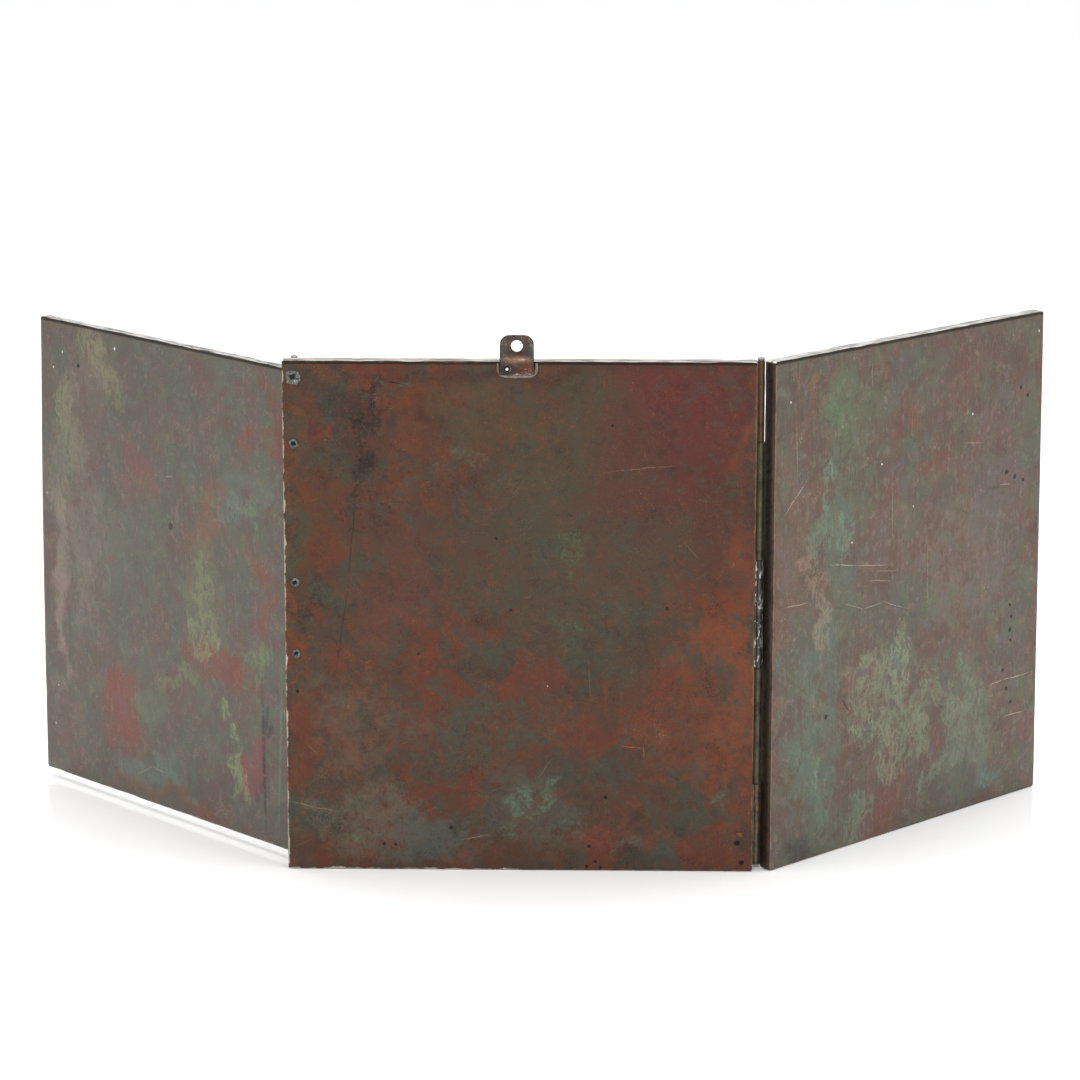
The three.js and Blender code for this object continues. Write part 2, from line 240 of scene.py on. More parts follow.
    def edges(self, plate, worn_and_highlit, side, top):
        """Rubbed arrises with a painted highlight on them, one colour a side; a dark line under the top, dark
        end faces, and a top painted pale as a highlight.
        """
        low, high = plate["low"], plate["high"]
        middle = [(a + b) / 2 for a, b in zip(low, high)]
        half = [(b - a) / 2 for a, b in zip(low, high)]
        x, y, z = self.add("SeparateXYZ", [self.here]).node.outputs
        off_x, off_y, off_z = [
            self.add("Math", [self.add("Math", [place, m], operation="SUBTRACT")], operation="ABSOLUTE")
            for place, m in zip((x, y, z), middle)]
        inside = self.add("Math", [
            self.add("Math", [half[0], off_x], operation="SUBTRACT"),
            self.add("Math", [half[2], off_z], operation="SUBTRACT")], operation="MINIMUM")
        broken = self.swayed(inside, self.mottle(5, 4, roughness=0.7), 3.2)
        # Worn metal along the arrises with a painted highlight on it, pale on one side and darker on the
        # other.
        rubbed = self.add("MapRange", [broken, 0.7, 0.2, 0, 0.8], **EASED)
        to_right = self.add("MapRange", [x, middle[0] - 1, middle[0] + 1], **EASED)
        self.cover(rubbed, self.add("Mix", {0: to_right, 6: linear(worn_and_highlit[0]), 7: linear(worn_and_highlit[1])}, 2,
                                    data_type="RGBA"))
        self.cover(self.add("MapRange", [z, high[2] - 2, high[2] - 1, 0, 0.85], **EASED), "#1a1412")
        on_end = self.add("Math", [
            self.add("MapRange", [off_y, half[1] - 0.1, half[1] - 0.35], **EASED),
            self.add("MapRange", [inside, 1.0, 0.4], **EASED)], operation="MULTIPLY")
        self.cover(on_end, side)
        streaks = self.mottle(2.2, 3, (5, 1, 1), roughness=0.65)
        dark = self.add("MapRange", [streaks, 0.5, 0.65, 0, 0.6], **EASED)
        self.cover(self.add("Math", [on_end, dark], operation="MULTIPLY"), "#241f1b")
        # The top face is painted pale: a painted highlight where it faces the light.
        top_face_highlight = self.add("Math", [
            self.add("MapRange", [z, high[2] - 1, high[2] - 0.5], **EASED),
            self.add("MapRange", [streaks, 0.3, 0.6, 0, 0.95], **EASED)], operation="MULTIPLY")
        self.cover(self.add("Math", [top_face_highlight, on_end], operation="MULTIPLY"), top)
        return rubbed

    def scratched(self, marks, code, strength):
        """Thin marks of one colour from (x, z) to (x, z), with a width, broken along their length."""
        nearest = FAR_OFF
        for x0, z0, x1, z1, width in marks:
            moved = self.add("Mapping", {
                "Vector": self.lightly, "Location": ((x0 + x1) / 2, self.back, (z0 + z1) / 2),
                "Rotation": (0, -math.atan2(z1 - z0, x1 - x0), 0),
                "Scale": (math.hypot(x1 - x0, z1 - z0) / 2, 4, 0.75 * width)}, vector_type="TEXTURE")
            away = self.add("VectorMath", [moved], "Value", operation="LENGTH")
            nearest = self.add("Math", [nearest, away], operation="MINIMUM")
        mask = self.add("MapRange", [nearest, 1.4, 0.5, 0, strength], **EASED)
        self.cover(self.add("Math", [mask, self.gaps], operation="MULTIPLY"), code)

    def dotted(self, dots, code, strength, depth):
        """Small round pits or flecks of one colour: x, z, radius."""
        nearest = FAR_OFF
        for x, z, radius in dots:
            away = self.add("VectorMath", [self.ragged, (x, self.back, z)], "Value", operation="DISTANCE")
            away = self.add("Math", [away, radius], operation="DIVIDE")
            nearest = self.add("Math", [nearest, away], operation="MINIMUM")
        mask = self.add("MapRange", [nearest, 1.25, 0.7, 0, strength], **EASED)
        self.cover(mask, code)
        self.raise_by(mask, depth)

    def finish(self, metallic=0.7):
        relief = self.add("Bump", {"Strength": 1.0, "Distance": MM, "Height": self.height})
        shader = self.add("BsdfPrincipled", {
            "Base Color": self.colour, "Roughness": self.roughness, "Metallic": metallic, "Normal": relief})
        self.add("OutputMaterial", {"Surface": shader})
        return self.material


def centre_patina():
    """Red-brown patinated bronze: warm umber with rusty, crimson and verdigris blooms, faintly glossy."""
    p = Patina("red-brown patinated bronze", "#50362a", back=CENTRE["low"][1])
    p.clouds(44, 0.42, 0.60, "#413a30", 0.8)
    p.clouds(24, 0.48, 0.60, "#643225", 0.68, detail=5, distortion=0.8)
    p.clouds(17, 0.50, 0.60, "#3f4338", 0.62, detail=5, distortion=0.9)
    p.clouds(11, 0.54, 0.63, "#6b3b24", 0.42, detail=5, distortion=1.0)
    salt = p.stains_and_salts(veiled=0.75, ridged=0.2)
    p.clouds(8, 0.56, 0.66, "#3a4840", 0.36, detail=5, distortion=0.8)
    p.clouds(6, 0.56, 0.68, "#2e2a2b", 0.28, detail=5, distortion=0.6)
    p.clouds(2.4, 0.55, 0.70, "#6d452e", 0.3, detail=4)
    p.speckled(0.8, 15, 0.58, 0.76, "#1c1818", 0.6, -0.08)
    p.speckled(0.8, 11, 0.72, 0.84, "#7d8069", 0.35)
    p.speckled(1.6, 30, 0.66, 0.80, "#241d1c", 0.4)
    p.grained("#241a17", "#80604e", 0.24)
    p.hairlines(65, "#8a6f5c", 0.35)
    for scratches in CENTRE_SCRATCHES:
        p.scratched(*scratches)
    for pits in CENTRE_PITS:
        p.dotted(*pits)
    # Arrises worn and with a painted highlight, pale on the left and brown on the right; the last colour is
    # the top face's painted highlight.
    rubbed = p.edges(CENTRE, ("#b5ab9a", "#73583f"), "#4b392e", "#b6b2aa")
    broad = p.mottle(24, 3)
    p.roughness = p.add("Math", [broad, 0.2, 0.34], operation="MULTIPLY_ADD")
    p.rougher(salt, 0.2)
    p.rougher(rubbed, -0.12)
    p.raise_by(broad, 0.25)
    return p.finish()


# Blooms in the patina: x, z, half width and half height in mm, colour, strength, turn in degrees.
CENTRE_BLOOMS = [
    (10, 176, 88, 46, "#3f2d27", 0.32, 0),
    (66, 200, 36, 24, "#5e2b2a", 0.62, 0),
    (48, 214, 16, 8, "#632d2a", 0.45, 0),
    (20, 180, 30, 38, "#4a4635", 0.55, 0),
    (22, 140, 58, 34, "#4b4236", 0.55, 0),
    (-20, 205, 26, 14, "#5d4630", 0.4, 0),
    (91, 109, 15, 18, "#7a3b20", 0.6, 12),
    (98, 140, 4, 15, "#7a4029", 0.55, 0),
    (98.5, 205, 3.5, 18, "#7a4229", 0.55, 0),
    (74, 66, 26, 32, "#6b3b2a", 0.45, 0),
    (95, 60, 7, 40, "#74402a", 0.45, 0),
    (-59, 210, 2.6, 6, "#1d1d22", 0.9, -38),
    (-63.5, 200, 2.2, 8, "#1d1c20", 0.85, -14),
    (-66.5, 186, 1.6, 9, "#231c1e", 0.7, -8),
    (-47, 196, 7, 18, "#70391f", 0.5, -8),
    (-70.5, 170, 1.1, 14, "#261e20", 0.7, -8),
    (-78, 205, 12, 10, "#352f2a", 0.5, 0),
    (-44, 200, 2, 7, "#2c2428", 0.5, -10),
    (-86, 160, 8, 26, "#5d3a22", 0.5, 0),
    (-92, 145, 5, 16, "#3c4a38", 0.5, 0),
    (-55, 150, 18, 36, "#5b3a2d", 0.45, 0),
    (-55, 120, 16, 20, "#5d3a34", 0.4, 0),
    (-75, 70, 30, 26, "#5f4a3d", 0.45, 0),
    (-66, 22, 26, 16, "#5f574b", 0.5, 0),
    (-40, 14, 24, 12, "#4d544d", 0.6, 0),
    (2, 30, 20, 22, "#4f4c42", 0.6, 0),
    (-10, 62, 44, 14, "#4a463a", 0.35, 10),
    (45, 12, 26, 10, "#6b3d31", 0.5, 0),
    (58, 160, 26, 20, "#4e3b31", 0.4, 0),
    (0, 219, 14, 6, "#4a2c30", 0.5, 0),
    (96, 216, 5, 8, "#3a2a26", 0.5, 0),
    (-5, 222, 70, 4, "#3a2a24", 0.4, 0),
    (-99, 150, 2.4, 70, "#6a4022", 0.55, 0),
    (50, 172, 24, 20, "#542d29", 0.5, 0),
    (88, 160, 14, 40, "#4e2a22", 0.4, 0),
    (-99, 50, 2.4, 50, "#523420", 0.45, 0),
]
# Crusts of verdigris.
CENTRE_CRUSTS = [
    (22.7, 137.5, 4, 3.4, "#4a6c4e", 0.6, 0),
    (20, 146, 5, 6, "#52644a", 0.5, 0),
    (-4.7, 39.9, 5, 3.4, "#62836c", 0.65, 0),
    (-3.4, 21, 4, 9, "#587560", 0.5, 0),
    (9.3, 34.9, 5, 3.4, "#657a62", 0.55, 0),
    (18.5, 17.1, 5, 7, "#5a6a57", 0.5, 0),
    (-68.1, 11.5, 2.4, 3.2, "#4a8560", 0.75, 0),
    (26.4, 36.9, 4.4, 4.4, "#2e342f", 0.6, 0),
    (50.2, 6.3, 12, 2.6, "#567463", 0.6, 0),
    (90.7, 29.5, 5, 6, "#4e6855", 0.55, 0),
    (80, 97.5, 8, 1.5, "#667464", 0.55, 0),
    (-52, 218.3, 6.5, 2.0, "#5e7866", 0.65, 0),
    (14, 108, 4, 10, "#465a49", 0.45, 0),
    (24, 100, 5, 8, "#48604c", 0.45, 0),
    (-18, 84, 6, 7, "#536450", 0.4, 0),
    (-30, 186, 12, 8, "#59634f", 0.45, 20),
    (-6, 172, 12, 8, "#4f6049", 0.45, 0),
    (6, 190, 5, 10, "#505c48", 0.4, 0),
    (-62, 200, 4, 16, "#1c1a1e", 0.5, -18),
    (-70, 168, 3, 22, "#201b1d", 0.42, -8),
    (-60, 172, 9, 18, "#2a2321", 0.3, 0),
    (-88, 178, 8, 10, "#2b2423", 0.4, 0),
    (-92, 120, 6, 16, "#2b2625", 0.42, 0),
    (-36, 206, 10, 8, "#2a2424", 0.42, 0),
    (-20, 20, 16, 5, "#262726", 0.36, 0),
    (70, 6, 22, 3, "#28221f", 0.36, 0),
]
CENTRE_SCRATCHES = [
    ([(37.7, 179.6, 65.6, 182.4, 0.28)], "#8a6c58", 0.6),
    ([(-101, 31, -90, 28.3, 0.28), (-90, 28.3, -79.4, 26.5, 0.22)], "#9c7a5c", 0.6),
    ([(-25.4, 14.1, -13.5, 16, 0.25)], "#9a836c", 0.6),
    ([(45.1, 57.1, 53.6, 56, 0.25), (54.2, 56.5, 54.4, 51.7, 0.25)], "#9a745c", 0.6),
    ([(-57, 219, -48, 217.4, 0.35)], "#201c1e", 0.9),
    ([(19.2, 161.6, 24.2, 159.6, 0.35)], "#2c2622", 0.8),
    ([(-73.6, 132, -80.6, 88, 0.5), (-70.5, 170, -74.2, 132, 0.55)], "#2a2324", 0.5),
    ([(8, 42, 14, 51, 0.2)], "#8a6a55", 0.5),
    ([(30, 96, 31, 78, 0.2), (70, 150, 78, 141, 0.2)], "#8a6a50", 0.4),
    ([(-96, 60, -88, 52, 0.2)], "#8d7158", 0.4),
]
CENTRE_PITS = [
    ([(-30.2, 19.1, 0.8), (30.4, 11.2, 0.9), (33, 3.9, 0.8), (29.5, 1.9, 0.7), (35.2, 1.4, 0.8),
      (37.8, 33.8, 0.7)], "#161416", 0.9, -0.25),
    ([(95.2, 13.1, 1.3), (97.1, 3.9, 1.1)], "#151315", 0.95, -0.25),
    ([(-59.5, 11.6, 0.8), (-54.7, 11.6, 0.7)], "#1a1816", 0.9, -0.25),
    ([(96.6, 16.8, 0.99)], "#9a6238", 0.5, 0.05),
    ([(64, 119, 0.8), (-4, 118, 0.7), (-44, 98, 0.6), (40, 200, 0.6), (-10, 150, 0.6),
     ], "#1d1a18", 0.8, -0.25),
    ([(12, 84, 0.37)], "#d8d2c4", 0.7, 0.05),
    ([(-97.1, 81, 0.8)], "#17181a", 0.9, -0.25),
]


def wing_patina(name, plate, base, scratches, pits, worn_and_highlit, mottle, brushing):
    """Grey-mauve patinated bronze: brushed upright, with red oxide and pale green chalky salts."""
    p = Patina(name, base, plate["origin"], plate["turn"], back=plate["low"][1])
    p.clouds(40, 0.42, 0.62, "#595a50", 0.7)
    p.clouds(22, 0.46, 0.62, "#6d4d46", 0.55 * mottle, detail=5, distortion=0.8)
    p.clouds(15, 0.48, 0.62, "#5e6854", 0.55 * mottle, detail=5, distortion=0.9)
    p.clouds(9, 0.52, 0.66, "#7a6156", 0.45 * mottle, detail=5, distortion=1.0)
    salt = p.stains_and_salts((1, 1, 1.6), mottle)
    p.clouds(7, 0.53, 0.67, "#5b5f63", 0.4 * mottle, detail=5, distortion=0.8, stretch=(1, 1, 1.6))
    p.clouds(3.0, 0.55, 0.68, "#8a8072", 0.3 * mottle, detail=5, stretch=(1, 1, 1.5))
    # Upright marks of the wire brush, 0.5 mm apart and some centimetres long.
    brushed = p.mottle(1.1, 3, stretch=(0.5, 1, 18), roughness=0.6)
    p.cover(p.add("MapRange", [brushed, 0.50, 0.75, 0, 0.3 * brushing], **EASED), "#918a80")
    p.cover(p.add("MapRange", [brushed, 0.50, 0.25, 0, 0.4 * brushing], **EASED), "#3b3532")
    p.raise_by(brushed, 0.05 * brushing)
    p.grained("#342d2a", "#a59a8c", 0.16)
    p.hairlines(12, "#b3a89a", 0.4 * brushing)
    p.hairlines(-38, "#b3a89a", 0.3 * brushing)
    p.speckled(0.8, 13, 0.62, 0.77, "#2a2625", 0.5 * mottle, -0.06)
    p.speckled(0.8, 9, 0.71, 0.83, "#9fa08e", 0.4 * mottle)
    for marks in scratches:
        p.scratched(*marks)
    for dots in pits:
        p.dotted(*dots)
    # The edge colours carry a painted highlight; the last colour is the top face's painted highlight.
    rubbed = p.edges(plate, worn_and_highlit, "#483c32", "#c4c3bd")
    broad = p.mottle(24, 3)
    p.roughness = p.add("Math", [broad, 0.16, 0.36], operation="MULTIPLY_ADD")
    p.rougher(salt, 0.2)
    p.rougher(rubbed, -0.1)
    p.raise_by(broad, 0.2)
    return p.finish()


LEFT_BLOOMS = [
    (-11, 200, 9, 26, "#70443e", 0.6, 0),
    (-24, 187, 6, 7, "#7e3f36", 0.5, 0),
    (-133, 204, 12, 15, "#7c7862", 0.45, 20),
    (-160, 180, 10, 24, "#7e7a66", 0.42, -10),
    (-105, 158, 11, 14, "#7a504c", 0.42, 20),
    (-56, 145, 14, 24, "#7e564a", 0.45, -15),
    (-34, 166, 18, 7, "#5f6658", 0.6, 0),
    (-125, 48, 13, 19, "#7c4642", 0.6, 15),
    (-54, 78, 17, 11, "#7a4239", 0.55, 20),
    (-31, 38, 10, 11, "#7d4a46", 0.65, 0),
    (-20, 110, 5, 14, "#7c453c", 0.55, 0),
    (-99, 53, 16, 10, "#626a58", 0.6, 20),
    (-105, 18, 26, 9, "#667268", 0.45, 0),
    (-150, 120, 20, 40, "#7d7169", 0.4, 0),
    (-110, 120, 22, 26, "#5f6155", 0.45, 0),
    (-21.3, 44, 1.4, 30, "#3a3a3c", 0.6, 0),
    (-60, 110, 14, 18, "#6b6c54", 0.4, 0),
    (-90, 8, 60, 4, "#7a4f42", 0.5, 0),
    (-140, 190, 16, 20, "#6a5f58", 0.4, 0),
    (-170, 90, 5, 60, "#8a7b72", 0.5, 0),
]
LEFT_CRUSTS = [
    (-138, 210, 9, 9, "#8f8d72", 0.42, 0),
    (-127, 196, 8, 10, "#86836a", 0.4, 30),
    (-160, 186, 8, 18, "#8f8c74", 0.4, 0),
    (-150, 168, 12, 14, "#837f6c", 0.34, 0),
    (-165, 135, 8, 26, "#85806e", 0.34, 0),
    (-40, 152, 14, 10, "#6f8478", 0.4, 20),
    (-52, 180, 18, 8, "#67746c", 0.34, 25),
    (-25, 90, 8, 14, "#788a6c", 0.42, 0),
    (-61, 116, 5, 16, "#86896a", 0.6, 24),
    (-67, 95, 6, 12, "#8b9070", 0.7, -20),
    (-59, 92, 4, 8, "#94997a", 0.6, 0),
    (-28, 147, 3, 7, "#76896a", 0.6, 30),
    (-76, 68, 5, 12, "#7f8668", 0.45, -30),
    (-50, 64, 5, 4, "#98a57e", 0.75, 30),
    (-42, 54, 4, 7, "#98a57e", 0.75, -25),
    (-45, 33, 5, 10, "#8fa07a", 0.65, -30),
    (-38, 24, 4, 5, "#87987a", 0.5, 0),
    (-92, 27, 6, 4, "#66877c", 0.6, 0),
    (-70, 12, 10, 4, "#6d8375", 0.45, 0),
]
LEFT_SCRATCHES = [
    ([(-112, 16, -101, 22, 0.25), (-101, 22, -92, 21, 0.25)], "#b3aa9a", 0.4),
    ([(-87, 161, -83, 161.6, 0.3)], "#b9b2a4", 0.5),
    ([(-168, 150, -162, 120, 0.25)], "#a29a8c", 0.35),
    ([(-40, 120, -38, 92, 0.25)], "#8d8577", 0.35),
    ([(-21.8, 76, -20.8, 12, 1.6)], "#33353a", 0.6),
    ([(-8, 90, -12, 8, 0.9)], "#6f8468", 0.4),
]
LEFT_PITS = [
    ([(-161.6, 207.9, 0.56), (-168.8, 199.8, 0.5), (-174.1, 27.3, 0.5), (-170.9, 46.6, 0.43),
     ], "#d9d6cc", 0.8, 0.05),
    ([(-122.2, 214.9, 0.68)], "#e2dfd6", 0.9, 0.05),
    ([(-149.5, 202.9, 1.1)], "#1c1a1a", 0.9, -0.25),
    ([(-83.9, 138.8, 1.8)], "#3c2f2e", 0.75, -0.25),
    ([(-176, 139, 0.5)], "#b9b2a4", 0.7, 0.05),
]

RIGHT_BLOOMS = [
    (36, 206, 11, 19, "#5f6f55", 0.55, 0),
    (54, 197, 15, 16, "#63634e", 0.45, 0),
    (95, 193, 8.5, 9.5, "#5f6a54", 0.45, 0),
    (95, 193, 6, 7, "#784238", 0.6, 0),
    (76, 188, 9, 14, "#70433c", 0.5, 0),
    (102, 169, 11, 10, "#75453b", 0.5, 0),
    (38, 162, 11, 24, "#5e6b58", 0.46, 5),
    (28, 46, 13, 48, "#5e6c5c", 0.5, 3),
    (40, 120, 10, 34, "#5f6a58", 0.5, 0),
    (76, 19, 18, 18, "#764541", 0.5, 20),
    (134, 33, 22, 16, "#6a725f", 0.5, 20),
    (142, 13, 12, 4, "#647a72", 0.5, 0),
    (20, 5, 8, 9, "#3d3836", 0.6, 40),
    (120, 120, 30, 40, "#75655c", 0.4, 0),
    (150, 150, 22, 50, "#6a5c58", 0.4, 0),
    (10, 150, 8, 50, "#715a4e", 0.5, 0),
    (76, 140, 20, 20, "#70584e", 0.4, 0),
    (120, 205, 20, 10, "#71544c", 0.4, 0),
    (60, 70, 16, 20, "#74504a", 0.35, 0),
]
RIGHT_CRUSTS = [
    (106, 60, 8, 16, "#7f8b74", 0.4, 20),
    (118, 38, 10, 12, "#82907a", 0.45, 20),
    (136, 46, 9, 12, "#7c8874", 0.38, 20),
    (104, 24, 8, 8, "#7c8e76", 0.42, 0),
    (36, 84, 7, 26, "#6a8472", 0.5, 0),
    (32, 150, 5, 22, "#78917c", 0.42, 0),
    (12, 44, 5, 22, "#68806f", 0.4, 0),
    (22, 213, 3, 9, "#9a6a42", 0.6, 0),
    (40, 200, 6, 12, "#677d60", 0.5, 0),
    (25, 129, 6, 8, "#a58876", 0.6, 10),
    (26, 107, 3.4, 15, "#9c9080", 0.5, 0),
    (26.5, 38.7, 3, 7, "#8fa694", 0.5, 10),
    (20, 60, 5, 22, "#6c8270", 0.46, 0),
    (30, 20, 5, 18, "#64806f", 0.5, 20),
    (74, 62, 16, 24, "#87937a", 0.52, 20),
    (82, 80, 8, 14, "#96a489", 0.55, -30),
    (64, 44, 9, 16, "#93a084", 0.6, 30),
    (94, 50, 7, 16, "#8a987c", 0.5, -20),
    (62, 78, 6, 11, "#8f9c80", 0.5, 20),
    (56, 13, 9, 8, "#76937c", 0.6, 0),
    (100, 14, 6, 8, "#7b957e", 0.55, 0),
    (128, 60, 5, 12, "#7a8a74", 0.4, 10),
    (149, 13, 4, 4, "#6f9a90", 0.6, 0),
    (37, 170, 4, 8, "#7fa089", 0.55, 0),
    (44, 146, 5, 9, "#7a9480", 0.5, 0),
]
RIGHT_SCRATCHES = [
    ([(34.8, 132.4, 53, 129, 0.3), (53, 129, 72.5, 125.9, 0.25), (149.6, 150.8, 157.5, 149.6, 0.25),
      (6.2, 118.1, 20.9, 117.7, 0.25)], "#b7a797", 0.7),
    ([(65.2, 124.4, 79.3, 121.9, 0.25), (60, 120.7, 74.7, 118.1, 0.25)], "#ab9b8b", 0.6),
    ([(19.7, 173, 4.1, 158.6, 0.28)], "#c0b0a0", 0.6),
    ([(124.2, 173.8, 136.8, 171.9, 0.25)], "#a99a8b", 0.5),
    ([(45, 112.9, 57, 108.4, 0.25), (57, 108.4, 71, 109.1, 0.25), (71, 109.1, 85.3, 103.7, 0.25),
     ], "#ad9f8f", 0.6),
    ([(146.1, 55.9, 155.4, 56.5, 0.28), (155.4, 56.5, 174, 56.5, 0.28),
      (156.1, 38.5, 170.7, 38.5, 0.25)], "#c4b4a2", 0.6),
    ([(44.1, 69, 48.9, 62.5, 0.5)], "#221f20", 0.9),
    ([(55.1, 52, 70, 48.9, 0.35)], "#4a4a40", 0.8),
    ([(75, 170, 76, 138, 0.2), (100, 130, 101, 100, 0.2), (60, 220, 61, 206, 0.2)], "#b2a396", 0.4),
    ([(12, 200, 13, 176, 0.25)], "#b09c8c", 0.5),
]
RIGHT_PITS = [
    ([(67.8, 172.7, 0.56)], "#e4e0d8", 0.9, 0.05),
    ([(8.2, 208.9, 0.5), (129.3, 186.5, 0.5), (175, 219, 0.5), (48.9, 140.2, 0.43), (89.7, 150.1, 0.43),
     ], "#ddd9d0", 0.8, 0.05),
    ([(33.8, 63.3, 1.2)], "#221f20", 0.85, -0.25),
    ([(159.1, 91.8, 1), (160.3, 86, 0.8), (159.4, 80, 1.1), (160.4, 74.9, 0.8), (155.2, 61.3, 1),
      (158, 52, 1), (161, 45, 1), (154, 156, 1.2), (160, 153, 1.2), (166, 150.4, 1), (163, 194, 0.9),
      (168, 190, 0.9)], "#2d2826", 0.9, -0.25),
]


def metal(name, base, darker, brighter, grain=1.5, roughness=0.42, metallic=0.8, chips=None):
    """A small bronze or solder part: mottled, darker in its hollows, brighter where it is rubbed."""
    p = Patina(name, base)
    p.clouds(grain * 4, 0.45, 0.65, darker, 0.7, detail=4)
    p.clouds(grain, 0.55, 0.75, brighter, 0.6, detail=5)
    if chips:
        # Only on the side of the barrel that faces back.
        y = p.add("SeparateXYZ", [p.here], "Y")
        pin_y = RIGHT_PIN.y / MM
        behind = p.add("MapRange", [y, pin_y - 0.4, pin_y - 0.9], **EASED)
        cloud = p.mottle(1.6, 3, (0.7, 0.7, 2.2), distortion=0.6)
        chipped = p.add("MapRange", [cloud, 0.56, 0.6, 0, 0.9], **EASED)
        p.cover(p.add("Math", [behind, chipped], operation="MULTIPLY"), chips)
    crumbs = p.mottle(grain / 2, 4)
    p.raise_by(crumbs, 0.12)
    p.roughness = p.add("Math", [crumbs, 0.25, roughness - 0.12], operation="MULTIPLY_ADD")
    return p.finish(metallic=metallic)


# --- plates --------------------------------------------------------------------------------------

def merged_copy(node):
    """A bmesh of a CAD node with its doubled vertices joined and its flat faces made whole."""
    bm = bmesh.new()
    bm.from_mesh(frame["nodes"][node].data)
    bmesh.ops.remove_doubles(bm, verts=bm.verts, dist=0.01 * MM)
    bmesh.ops.dissolve_limit(bm, angle_limit=math.radians(0.5), verts=bm.verts, edges=bm.edges)
    return bm


def finished(bm, name, material, body, replaces=(), smooth=35):
    """Makes a piece of a bmesh; edges sharper than 'smooth' degrees stay crisp."""
    bmesh.ops.triangulate(bm, faces=bm.faces)
    mesh = bpy.data.meshes.new(name)
    bm.to_mesh(mesh)
    bm.free()
    mesh.shade_smooth()
    mesh.set_sharp_from_angle(angle=math.radians(smooth))
    piece = bpy.data.objects.new(name, mesh)
    bpy.context.scene.collection.objects.link(piece)
    mesh.materials.append(material)
    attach(piece, body)
    if replaces:
        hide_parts(*replaces)


def cut_into_cells(bm, low, high, step):
    """Cuts the whole mesh along planes 'step' apart, upright and level."""
    for axis in (0, 2):
        count = int((high[axis] - low[axis]) / step)
        for i in range(1, count + 1):
            place = Vector((0, 0, 0))
            place[axis] = low[axis] + (high[axis] - low[axis]) * i / (count + 1)
            normal = Vector((0, 0, 0))
            normal[axis] = 1
            bmesh.ops.bisect_plane(bm, geom=bm.verts[:] + bm.edges[:] + bm.faces[:], dist=0.001 * MM,
                                   plane_co=place, plane_no=normal)


CELL = 2.6 * MM
WARP = 0.16 * MM  # how far the faces wander from flat
NICK = 0.45 * MM  # how deep the worn edges are bitten
NICK_REACH = 0.8 * MM  # how far in from the outline the bites go
TURNED_OVER = 222  # a front patch's height and its back patch's height add up to this, in mm
RIM = 1.55  # a patch fades out at this many times its half size
FADE = 1.1  # and is whole at this much less
SLOW_SWAY, SLOW_LENGTH = 14, 26  # mm that a patch's outline wanders, and over how many mm
QUICK_SWAY, QUICK_LENGTH = 7, 9


def reach_of(place, x, z, half_x, half_z, turn, seed):
    """How deep inside a wavering ellipse a place is: 1 in its middle, 0 outside."""
    wavering = Vector((place[0], 0, place[1]))
    wavering += SLOW_SWAY * noise.noise_vector(Vector((place[0] / SLOW_LENGTH, seed, place[1] / SLOW_LENGTH)))
    wavering += QUICK_SWAY * noise.noise_vector(
        Vector((place[0] / QUICK_LENGTH, seed + 5, place[1] / QUICK_LENGTH)))
    dx, dz = wavering.x - x, wavering.z - z
    angle = math.radians(turn)
    along = (dx * math.cos(angle) + dz * math.sin(angle)) / half_x
    across = (dz * math.cos(angle) - dx * math.sin(angle)) / half_z
    share = min(1.0, max(0.0, (RIM - math.hypot(along, across)) / FADE))
    return share * share * (3 - 2 * share)


def laid_over(colour, cover, code, share):
    """A colour and how far it covers, once another is laid over it by its share."""
    total = cover * (1 - share) + share
    return (colour * cover * (1 - share) + Vector(linear(code)[:3]) * share) / total, total


def lay_colours(bm, name, patches, middle_y, mirror_x, seed):
    """Lays the patches on a mesh as one colour with a strength; the front has them the other way round."""
    layer = bm.verts.layers.float_color.new(name)
    for v in bm.verts:
        x, z = v.co.x / MM, v.co.z / MM
        if v.co.y > middle_y:
            x, z = mirror_x - x, TURNED_OVER - z
        colour, cover = Vector((0, 0, 0)), 0.0
        for px, pz, half_x, half_z, code, strength, turn in patches:
            reach = RIM * max(half_x, half_z) + SLOW_SWAY + QUICK_SWAY + 3
            if max(abs(px - x), abs(pz - z)) > reach:
                continue
            share = strength * reach_of((x, z), px, pz, half_x, half_z, turn, seed)
            if share > 0:
                colour, cover = laid_over(colour, cover, code, share)
        v[layer] = (*colour, cover)


